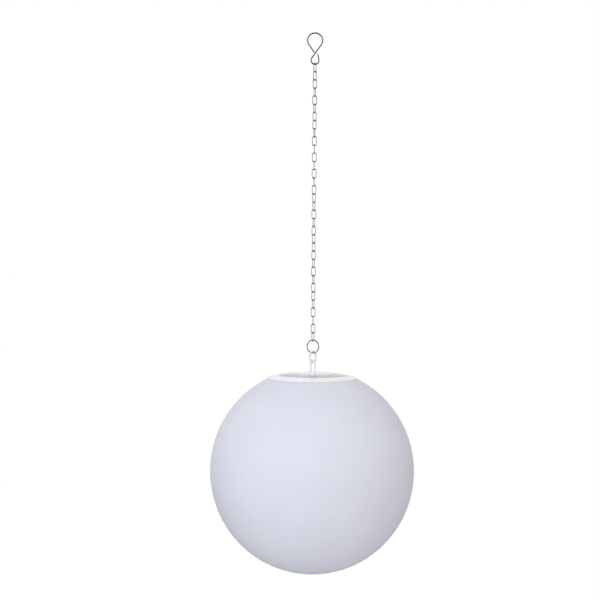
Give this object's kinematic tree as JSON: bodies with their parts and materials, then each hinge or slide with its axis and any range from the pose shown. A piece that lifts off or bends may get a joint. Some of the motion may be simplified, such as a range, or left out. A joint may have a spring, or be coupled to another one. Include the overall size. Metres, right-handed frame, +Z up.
{
  "type": "hanging globe light",
  "caption": "Opal globe light under a domed cap with a ring-shaped solar panel, hung by an eye, a link, a ring and a fine steel chain from a figure-eight hook.",
  "frame": {"origin": "where the hook bears on what holds it: the top of its big loop, on the inside of the wire", "axes": "+Z up along the chain; the picture looks along +Y, and +X is to its right"},
  "size_m": [0.2999, 0.3, 0.7964],
  "materials": {
    "steel_wire": "bright nickel-plated steel wire, lightly worn",
    "white_coated_wire": "white powder-coated wire",
    "cap_plastic": "white moulded weatherproof plastic, satin",
    "window_plastic": "clear moulded window, polished",
    "solar_cells": "dark blue-black cells under a glossy coating",
    "rubber_seal": "black soft rubber",
    "opal_plastic": "translucent opal white blow-moulded plastic, matt",
    "housing_plastic": "white moulded plastic, fine spark texture",
    "zinc_steel": "zinc-plated steel",
    "battery_sleeve": "plain green printed sleeve",
    "spring_metal": "nickel-plated spring strip",
    "circuit_laminate": "green lacquered laminate",
    "lead_sleeve": "red and black insulation",
    "lamp_board_white": "white lacquered aluminium board",
    "led_package": "white package with a yellow phosphor",
    "frosted_plastic": "frosted translucent plastic",
    "switch_plastic": "black moulded plastic"
  },
  "bodies": {
    "s_hook": {"s_hook": "steel_wire"},
    "chain_link_01": {"chain_link_01": "steel_wire"},
    "chain_link_02": {"chain_link_02": "steel_wire"},
    "chain_link_03": {"chain_link_03": "steel_wire"},
    "chain_link_04": {"chain_link_04": "steel_wire"},
    "chain_link_05": {"chain_link_05": "steel_wire"},
    "chain_link_06": {"chain_link_06": "steel_wire"},
    "chain_link_07": {"chain_link_07": "steel_wire"},
    "chain_link_08": {"chain_link_08": "steel_wire"},
    "chain_link_09": {"chain_link_09": "steel_wire"},
    "chain_link_10": {"chain_link_10": "steel_wire"},
    "chain_link_11": {"chain_link_11": "steel_wire"},
    "chain_link_12": {"chain_link_12": "steel_wire"},
    "chain_link_13": {"chain_link_13": "steel_wire"},
    "chain_link_14": {"chain_link_14": "steel_wire"},
    "chain_link_15": {"chain_link_15": "steel_wire"},
    "chain_link_16": {"chain_link_16": "steel_wire"},
    "chain_link_17": {"chain_link_17": "steel_wire"},
    "chain_link_18": {"chain_link_18": "steel_wire"},
    "chain_link_19": {"chain_link_19": "steel_wire"},
    "chain_link_20": {"chain_link_20": "steel_wire"},
    "chain_link_21": {"chain_link_21": "steel_wire"},
    "chain_link_22": {"chain_link_22": "steel_wire"},
    "chain_link_23": {"chain_link_23": "steel_wire"},
    "chain_link_24": {"chain_link_24": "steel_wire"},
    "chain_link_25": {"chain_link_25": "steel_wire"},
    "chain_link_26": {"chain_link_26": "steel_wire"},
    "chain_link_27": {"chain_link_27": "steel_wire"},
    "chain_link_28": {"chain_link_28": "steel_wire"},
    "chain_link_29": {"chain_link_29": "steel_wire"},
    "chain_link_30": {"chain_link_30": "steel_wire"},
    "chain_link_31": {"chain_link_31": "steel_wire"},
    "chain_link_32": {"chain_link_32": "steel_wire"},
    "chain_link_33": {"chain_link_33": "steel_wire"},
    "chain_link_34": {"chain_link_34": "steel_wire"},
    "hanging_ring": {"hanging_ring": "steel_wire"},
    "hanging_link": {"hanging_link": "white_coated_wire"},
    "lamp_head": {"hanging_eye": "white_coated_wire", "eye_plate": "zinc_steel", "eye_nuts": "zinc_steel", "top_cover": "cap_plastic", "panel_window": "window_plastic", "solar_panel": "solar_cells", "cover_seal": "rubber_seal", "lamp_housing": "housing_plastic", "cover_screws": "zinc_steel", "battery_cell": "battery_sleeve", "contact_plate": "spring_metal", "contact_spring": "spring_metal", "door_pin": "zinc_steel", "circuit_board": "circuit_laminate", "inner_wires": "lead_sleeve", "led_board": "lamp_board_white", "leds": "led_package", "led_diffuser": "frosted_plastic", "switch_body": "switch_plastic"},
    "neck_gasket": {"neck_gasket": "rubber_seal"},
    "globe": {"globe": "opal_plastic"},
    "battery_door": {"battery_door": "housing_plastic"},
    "switch_button": {"switch_button": "switch_plastic"}
  },
  "joints": [
    {"name": "globe_turn", "type": "hinge", "parent": "lamp_head", "child": "neck_gasket", "pos_m": [0, 0, -0.51035], "axis": [0, 0, -1], "range_deg": [0, 60]},
    {"name": "globe_drop", "type": "slide", "parent": "neck_gasket", "child": "globe", "axis": [0, 0, -1], "range_m": [0, 0.006]},
    {"name": "switch_press", "type": "slide", "parent": "lamp_head", "child": "switch_button", "axis": [0, 0, 1], "range_m": [0, 0.002], "stiffness_N_per_m": 400},
    {"name": "battery_door_swing", "type": "hinge", "parent": "lamp_head", "child": "battery_door", "pos_m": [0, 0.03855, -0.53875], "axis": [1, 0, 0], "range_deg": [0, 100]},
    {"name": "lamp_swing", "type": "hinge", "parent": "hanging_link", "child": "lamp_head", "pos_m": [0, 0, -0.4856], "axis": [0.891, 0.454, 0], "range_deg": [-80, 80]},
    {"name": "hanging_link_swing", "type": "hinge", "parent": "hanging_ring", "child": "hanging_link", "pos_m": [0, 0, -0.47205], "axis": [-0.8829, 0.4695, 0], "range_deg": [-80, 80]},
    {"name": "ring_swing", "type": "hinge", "parent": "chain_link_34", "child": "hanging_ring", "pos_m": [0, 0, -0.4547], "axis": [-0.5299, -0.848, 0], "range_deg": [-80, 80]},
    {"name": "chain_link_01_swing", "type": "hinge", "parent": "s_hook", "child": "chain_link_01", "pos_m": [0, 0, -0.0453], "axis": [1, 0, 0], "range_deg": [-80, 80]},
    {"name": "chain_link_02_swing", "type": "hinge", "parent": "chain_link_01", "child": "chain_link_02", "pos_m": [0, 0, -0.05705], "axis": [0.5736, 0.8192, 0], "range_deg": [-80, 80]},
    {"name": "chain_link_03_swing", "type": "hinge", "parent": "chain_link_02", "child": "chain_link_03", "pos_m": [0, 0, -0.0691], "axis": [0.6852, -0.7284, 0], "range_deg": [-80, 80]},
    {"name": "chain_link_04_swing", "type": "hinge", "parent": "chain_link_03", "child": "chain_link_04", "pos_m": [0, 0, -0.08115], "axis": [-0.8526, -0.5225, 0], "range_deg": [-80, 80]},
    {"name": "chain_link_05_swing", "type": "hinge", "parent": "chain_link_04", "child": "chain_link_05", "pos_m": [0, 0, -0.0932], "axis": [-0.3379, 0.9412, 0], "range_deg": [-80, 80]},
    {"name": "chain_link_06_swing", "type": "hinge", "parent": "chain_link_05", "child": "chain_link_06", "pos_m": [0, 0, -0.10525], "axis": [0.9903, 0.1392, 0], "range_deg": [-80, 80]},
    {"name": "chain_link_07_swing", "type": "hinge", "parent": "chain_link_06", "child": "chain_link_07", "pos_m": [0, 0, -0.1173], "axis": [0.4067, -0.9135, 0], "range_deg": [-80, 80]},
    {"name": "chain_link_08_swing", "type": "hinge", "parent": "chain_link_07", "child": "chain_link_08", "pos_m": [0, 0, -0.12935], "axis": [-0.766, -0.6428, 0], "range_deg": [-80, 80]},
    {"name": "chain_link_09_swing", "type": "hinge", "parent": "chain_link_08", "child": "chain_link_09", "pos_m": [0, 0, -0.1414], "axis": [-0.829, 0.5592, 0], "range_deg": [-80, 80]},
    {"name": "chain_link_10_swing", "type": "hinge", "parent": "chain_link_09", "child": "chain_link_10", "pos_m": [0, 0, -0.15345], "axis": [0.309, 0.9511, 0], "range_deg": [-80, 80]},
    {"name": "chain_link_11_swing", "type": "hinge", "parent": "chain_link_10", "child": "chain_link_11", "pos_m": [0, 0, -0.1655], "axis": [0.9994, -0.0349, 0], "range_deg": [-80, 80]},
    {"name": "chain_link_12_swing", "type": "hinge", "parent": "chain_link_11", "child": "chain_link_12", "pos_m": [0, 0, -0.17755], "axis": [-0.0558, -0.9984, 0], "range_deg": [-80, 80]},
    {"name": "chain_link_13_swing", "type": "hinge", "parent": "chain_link_12", "child": "chain_link_13", "pos_m": [0, 0, -0.1896], "axis": [-0.9971, 0.0767, 0], "range_deg": [-80, 80]},
    {"name": "chain_link_14_swing", "type": "hinge", "parent": "chain_link_13", "child": "chain_link_14", "pos_m": [0, 0, -0.20165], "axis": [0.0976, 0.9952, 0], "range_deg": [-80, 80]},
    {"name": "chain_link_15_swing", "type": "hinge", "parent": "chain_link_14", "child": "chain_link_15", "pos_m": [0, 0, -0.2137], "axis": [0.993, -0.1184, 0], "range_deg": [-80, 80]},
    {"name": "chain_link_16_swing", "type": "hinge", "parent": "chain_link_15", "child": "chain_link_16", "pos_m": [0, 0, -0.22575], "axis": [-0.1392, -0.9903, 0], "range_deg": [-80, 80]},
    {"name": "chain_link_17_swing", "type": "hinge", "parent": "chain_link_16", "child": "chain_link_17", "pos_m": [0, 0, -0.2378], "axis": [-0.9026, 0.4305, 0], "range_deg": [-80, 80]},
    {"name": "chain_link_18_swing", "type": "hinge", "parent": "chain_link_17", "child": "chain_link_18", "pos_m": [0, 0, -0.24985], "axis": [0.682, 0.7314, 0], "range_deg": [-80, 80]},
    {"name": "chain_link_19_swing", "type": "hinge", "parent": "chain_link_18", "child": "chain_link_19", "pos_m": [0, 0, -0.2619], "axis": [0.4924, -0.8704, 0], "range_deg": [-80, 80]},
    {"name": "chain_link_20_swing", "type": "hinge", "parent": "chain_link_19", "child": "chain_link_20", "pos_m": [0, 0, -0.27395], "axis": [-0.9781, -0.2079, 0], "range_deg": [-80, 80]},
    {"name": "chain_link_21_swing", "type": "hinge", "parent": "chain_link_20", "child": "chain_link_21", "pos_m": [0, 0, -0.286], "axis": [-0.3514, 0.9362, 0], "range_deg": [-80, 80]},
    {"name": "chain_link_22_swing", "type": "hinge", "parent": "chain_link_21", "child": "chain_link_22", "pos_m": [0, 0, -0.29805], "axis": [0.8734, 0.487, 0], "range_deg": [-80, 80]},
    {"name": "chain_link_23_swing", "type": "hinge", "parent": "chain_link_22", "child": "chain_link_23", "pos_m": [0, 0, -0.3101], "axis": [0.6117, -0.7911, 0], "range_deg": [-80, 80]},
    {"name": "chain_link_24_swing", "type": "hinge", "parent": "chain_link_23", "child": "chain_link_24", "pos_m": [0, 0, -0.32215], "axis": [-0.6911, -0.7228, 0], "range_deg": [-80, 80]},
    {"name": "chain_link_25_swing", "type": "hinge", "parent": "chain_link_24", "child": "chain_link_25", "pos_m": [0, 0, -0.3342], "axis": [-0.8177, 0.5756, 0], "range_deg": [-80, 80]},
    {"name": "chain_link_26_swing", "type": "hinge", "parent": "chain_link_25", "child": "chain_link_26", "pos_m": [0, 0, -0.34625], "axis": [0.4473, 0.8944, 0], "range_deg": [-80, 80]},
    {"name": "chain_link_27_swing", "type": "hinge", "parent": "chain_link_26", "child": "chain_link_27", "pos_m": [0, 0, -0.3583], "axis": [0.9511, -0.309, 0], "range_deg": [-80, 80]},
    {"name": "chain_link_28_swing", "type": "hinge", "parent": "chain_link_27", "child": "chain_link_28", "pos_m": [0, 0, -0.37035], "axis": [-0.4067, -0.9135, 0], "range_deg": [-80, 80]},
    {"name": "chain_link_29_swing", "type": "hinge", "parent": "chain_link_28", "child": "chain_link_29", "pos_m": [0, 0, -0.3824], "axis": [-0.866, 0.5, 0], "range_deg": [-80, 80]},
    {"name": "chain_link_30_swing", "type": "hinge", "parent": "chain_link_29", "child": "chain_link_30", "pos_m": [0, 0, -0.39445], "axis": [0.7353, 0.6777, 0], "range_deg": [-80, 80]},
    {"name": "chain_link_31_swing", "type": "hinge", "parent": "chain_link_30", "child": "chain_link_31", "pos_m": [0, 0, -0.4065], "axis": [0.4279, -0.9038, 0], "range_deg": [-80, 80]},
    {"name": "chain_link_32_swing", "type": "hinge", "parent": "chain_link_31", "child": "chain_link_32", "pos_m": [0, 0, -0.41855], "axis": [-0.9903, -0.1392, 0], "range_deg": [-80, 80]},
    {"name": "chain_link_33_swing", "type": "hinge", "parent": "chain_link_32", "child": "chain_link_33", "pos_m": [0, 0, -0.4306], "axis": [0.0929, 0.9957, 0], "range_deg": [-80, 80]},
    {"name": "chain_link_34_swing", "type": "hinge", "parent": "chain_link_33", "child": "chain_link_34", "pos_m": [0, 0, -0.44265], "axis": [-0.9474, 0.3201, 0], "range_deg": [-80, 80]}
  ],
  "couplings": [
    {"joint": "globe_drop", "follows": "globe_turn", "m_per_rad": 0.005729}
  ]
}
